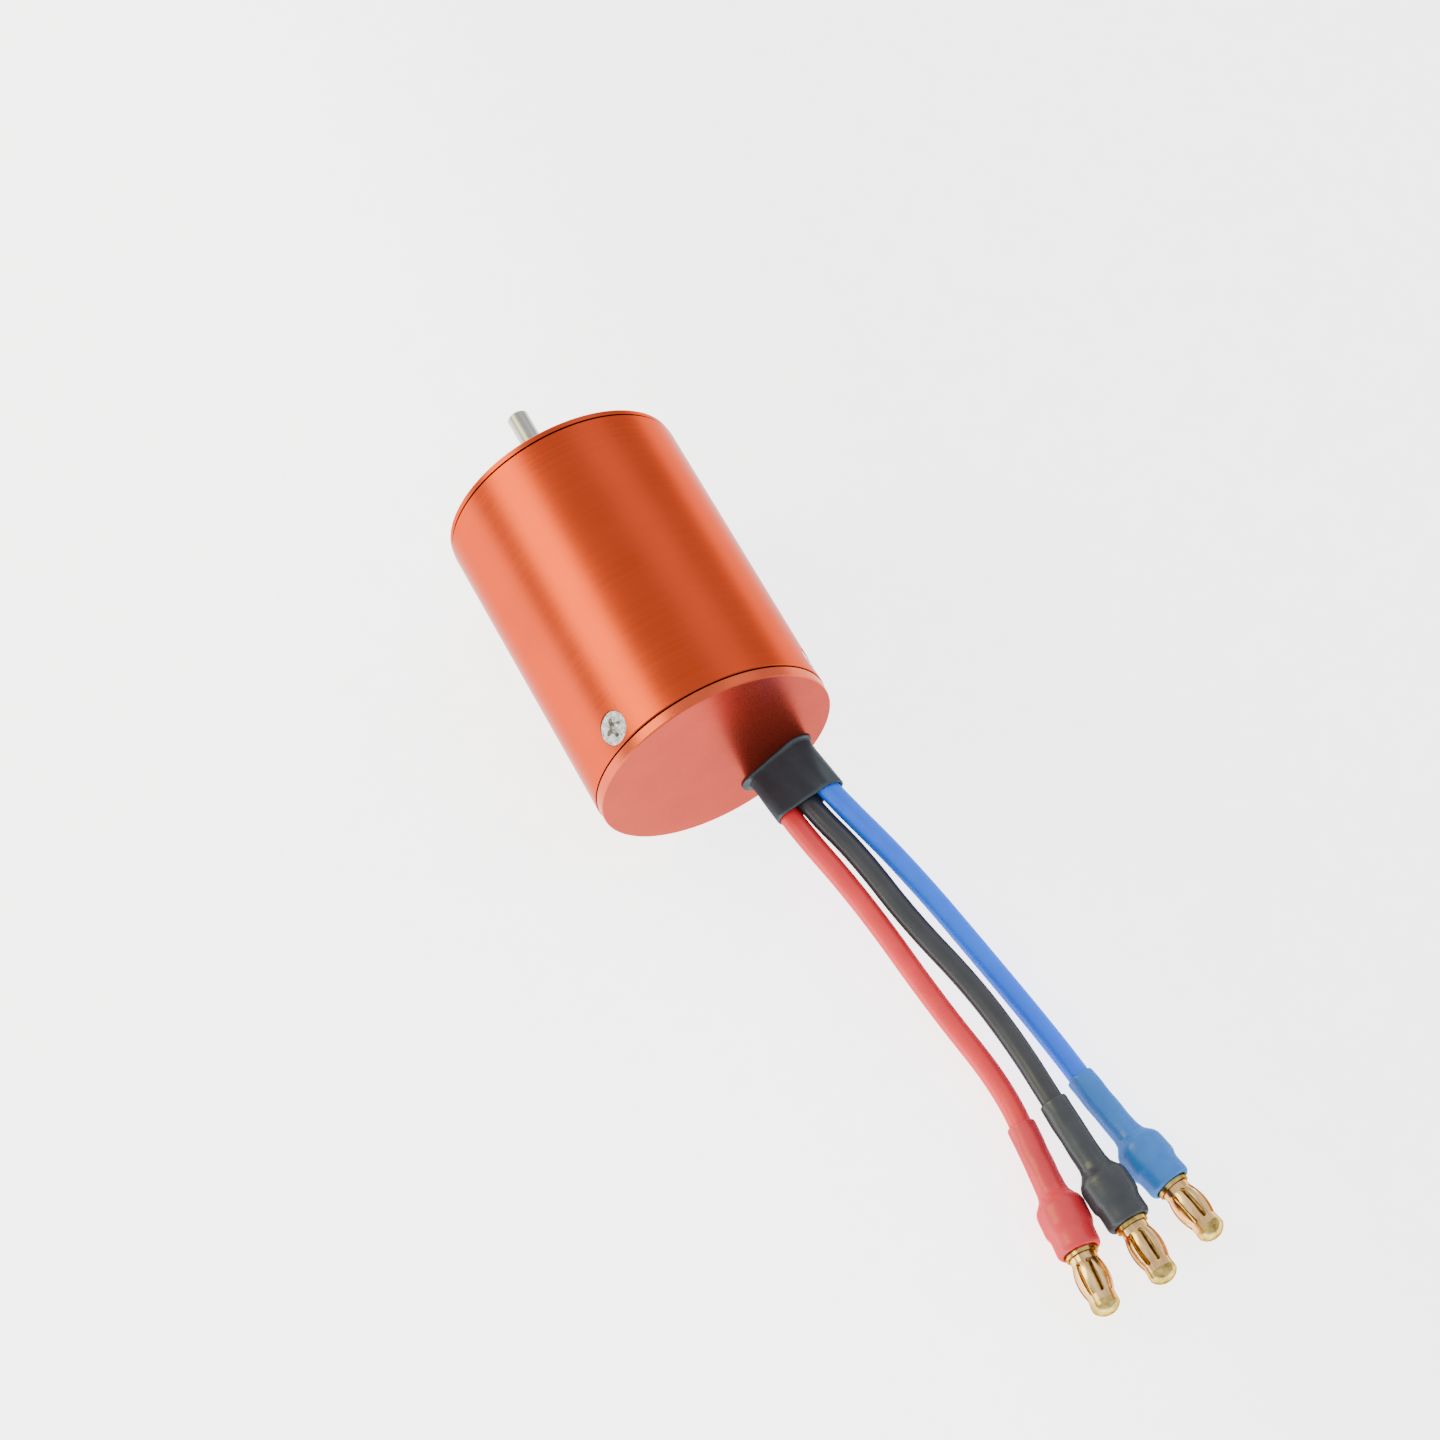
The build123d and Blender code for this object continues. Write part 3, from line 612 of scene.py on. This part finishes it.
# The face colours are darker than the rim's: partly finish, partly painted shade
CAP_LOOK = dict(
    rim_light=(0.55, 0.080, 0.028),
    rim_deep=(0.47, 0.064, 0.023),
    face_shaded_light=(0.31, 0.032, 0.017),
    face_shaded_deep=(0.27, 0.027, 0.015),
)
NICKEL_GRAIN = dict(grain_scale=1900, strength=0.9, depth=0.05, smudge_and_reflection_scale=1500)
GROUND_GRAIN = dict(grain_scale=6000, stretch=(1, 0.05, 0.05))
SHEET_GRAIN = dict(grain_scale=7000, stretch=(1, 0.02, 0.02), strength=0.5)
WIRE_GRAIN = dict(grain_scale=2500, strength=0.5)
# On the gold pin and spring the smudges and streaks are partly painted highlights and reflections
PIN_GRAIN_AND_SHEEN = dict(grain_scale=3000, strength=0.4, depth=0.02, smudge_and_reflection_scale=900, edge=GOLD_EDGE_SHADE)
SPRING_GRAIN_AND_SHEEN = dict(
    grain_scale=3000,
    stretch=(0.1, 1, 1),
    strength=0.4,
    depth=0.012,
    smudge_and_reflection_scale=1500,
    smudge_and_reflection_stretch=(0.1, 1, 1),
    edge=GOLD_EDGE_SHADE,
)
LOOKS = {
    "anodised_can": look(
        turned_anodised, (0.46, 0.050, 0.014), (0.39, 0.042, 0.012), 0.22, anisotropy=0.8
    ),
    "anodised_face": (cap_anodised, CAP_LOOK),
    "screw_nickel": look(metal, (0.86, 0.84, 0.81), (0.34, 0.33, 0.32), 0.2, **NICKEL_GRAIN),
    "ground_steel": look(metal, (0.38, 0.37, 0.345), (0.31, 0.30, 0.28), 0.30, **GROUND_GRAIN),
    "core_steel": look(metal, (0.30, 0.30, 0.31), (0.20, 0.20, 0.21), 0.45),
    "lamination": look(metal, (0.28, 0.29, 0.31), (0.16, 0.17, 0.19), 0.42, **SHEET_GRAIN),
    "magnet": look(metal, (0.55, 0.55, 0.56), (0.44, 0.44, 0.45), 0.28),
    "band_fibre": look(plastic, (0.62, 0.45, 0.13), (0.50, 0.34, 0.08), 0.45),
    "turned_brass": look(metal, (0.78, 0.56, 0.22), (0.66, 0.44, 0.16), 0.28),
    "insulator": look(plastic, (0.80, 0.78, 0.68), (0.70, 0.68, 0.58), 0.5),
    "bearing_steel": look(metal, (0.66, 0.66, 0.67), (0.56, 0.56, 0.57), 0.2),
    "ball_steel": look(metal, (0.74, 0.74, 0.75), (0.66, 0.66, 0.67), 0.08),
    "shield_steel": look(metal, (0.60, 0.60, 0.61), (0.48, 0.48, 0.49), 0.28),
    "copper_wire": look(metal, (0.72, 0.27, 0.10), (0.55, 0.16, 0.05), 0.3, **WIRE_GRAIN),
    "tinned_copper": look(metal, (0.70, 0.69, 0.66), (0.56, 0.55, 0.52), 0.35),
    "sleeve_black": look(
        shrink, (0.034, 0.052, 0.059), (0.027, 0.043, 0.049), 0.42, strength=0.2
    ),
    "silicone_red": look(silicone, (0.86, 0.038, 0.043), (0.77, 0.030, 0.036), 0.46),
    "silicone_black": look(silicone, (0.036, 0.037, 0.041), (0.028, 0.029, 0.033), 0.42),
    "silicone_blue": look(silicone, (0.010, 0.165, 0.98), (0.008, 0.145, 0.93), 0.46),
    "shrink_red": look(shrink, (0.72, 0.038, 0.049), (0.62, 0.029, 0.038), 0.5),
    "shrink_black": look(shrink, (0.038, 0.041, 0.047), (0.028, 0.032, 0.036), 0.48),
    "shrink_blue": look(shrink, (0.028, 0.18, 0.58), (0.021, 0.15, 0.50), 0.5),
    # The gold colours lie far apart: partly real smudges and burnish streaks, partly painted
    # highlights and reflections
    "gold_pin": look(metal, (0.72, 0.52, 0.15), (0.24, 0.155, 0.038), 0.17, **PIN_GRAIN_AND_SHEEN),
    "gold_spring": look(metal, (1.0, 0.66, 0.28), (0.46, 0.23, 0.085), 0.17, **SPRING_GRAIN_AND_SHEEN),
}
MATERIALS = {name: make(name, **settings) for name, (make, settings) in LOOKS.items()}

node_slots = {part["node"]: part["material_slot"] for part in frame["record"]["subparts"]}
for node_name, cad_object in nodes.items():
    cad_object.data.materials.clear()
    cad_object.data.materials.append(MATERIALS[node_slots[node_name]])
for colour in ROUTES:
    leads[colour].data.materials.append(MATERIALS[f"silicone_{colour}"])
    plug_sleeves[colour].data.materials.append(MATERIALS[f"shrink_{colour}"])
cable_sleeve.data.materials.append(MATERIALS["sleeve_black"])


# ---------------------------------------------------------------- floor and light

GROUND_Z = cad_box[0].z
FLOOR_HALF = 3.0
FLOOR_GLOW = 3.8  # the floor glows though it is no lamp: painted light that keeps it white
GLOW_CENTRE = (-0.05, 0.02, GROUND_Z)
# The glow is a painted pool of light: full round the motor, fading with distance from it
GLOW_BY_DISTANCE = (0.16, 0.75, 1.0, 0.2)
# The glow is also dimmed on the -y side as a painted shadow, where the motor's shade falls
PAINTED_SHADOW_BY_Y = (-0.06, 0.02, 0.78, 1.0)
ROOM_COLOUR, ROOM_STRENGTH = (0.98, 1.0, 1.07, 1.0), 1.28
MIDDLE = Vector((-0.03, -0.005, 0.0))
LIGHT_REACH = 0.9


def make_floor():
    """Wide white floor under the motor, glowing, with a painted pool of light round the motor and
    a painted shadow on its -y side.
    """
    half, z = FLOOR_HALF / MM, GROUND_Z / MM
    corners = [(-half, -half, z), (half, -half, z), (half, half, z), (-half, half, z)]
    floor = smooth_mesh("floor", corners, [(0, 1, 2, 3)])
    s = Shader("floor_paper", Roughness=0.8, Emission_Strength=FLOOR_GLOW)
    paper = s.object_noise(300, detail=3.0)
    tint = s.ramp(paper, (0.3, (0.93, 0.93, 0.93)), (0.7, (0.96, 0.96, 0.96)))
    s.feed(tint, "Base Color")
    where = s.node("ShaderNodeTexCoord")
    away = s.node("ShaderNodeVectorMath", operation="DISTANCE")
    away.inputs[1].default_value = GLOW_CENTRE
    s.link(where.outputs["Object"], away.inputs[0])
    split = s.node("ShaderNodeSeparateXYZ")
    s.link(where.outputs["Object"], split.inputs["Vector"])
    # Painted pool of light times painted shadow
    pool_and_shadow = s.node("ShaderNodeMath", operation="MULTIPLY")
    s.link(s.carry(away.outputs["Value"], GLOW_BY_DISTANCE, "SMOOTHSTEP"), pool_and_shadow.inputs[0])
    s.link(s.carry(split.outputs["Y"], PAINTED_SHADOW_BY_Y, "SMOOTHSTEP"), pool_and_shadow.inputs[1])
    glow = s.node("ShaderNodeVectorMath", operation="SCALE")
    s.link(tint, glow.inputs[0])
    s.link(pool_and_shadow.outputs[0], glow.inputs["Scale"])
    s.feed(glow.outputs[0], "Emission Color")
    floor.data.materials.append(s.material)


def light_room():
    """Even, faintly cool light from all round."""
    world = bpy.data.worlds.new("studio")
    world.use_nodes = True
    background = world.node_tree.nodes["Background"]
    background.inputs["Color"].default_value = ROOM_COLOUR
    background.inputs["Strength"].default_value = ROOM_STRENGTH
    bpy.context.scene.world = world


def softbox(name, way, size, power, colour):
    """Square area light that way from the middle of the motor, and facing it."""
    data = bpy.data.lights.new(name, "AREA")
    data.shape = "RECTANGLE"
    data.size = data.size_y = size
    data.energy = power
    data.color = colour
    light = bpy.data.objects.new(name, data)
    light.location = MIDDLE + Vector(way) * LIGHT_REACH
    light.rotation_mode = "QUATERNION"
    light.rotation_quaternion = (MIDDLE - light.location).to_track_quat("-Z", "Y")
    bpy.context.scene.collection.objects.link(light)


make_floor()
light_room()
softbox("key", (0.48, 0.69, 0.54), 0.45, 4.2, (1.0, 0.98, 0.34))
softbox("overhead", (0.48, -0.55, 0.68), 0.4, 0.36, (1.0, 1.0, 1.0))
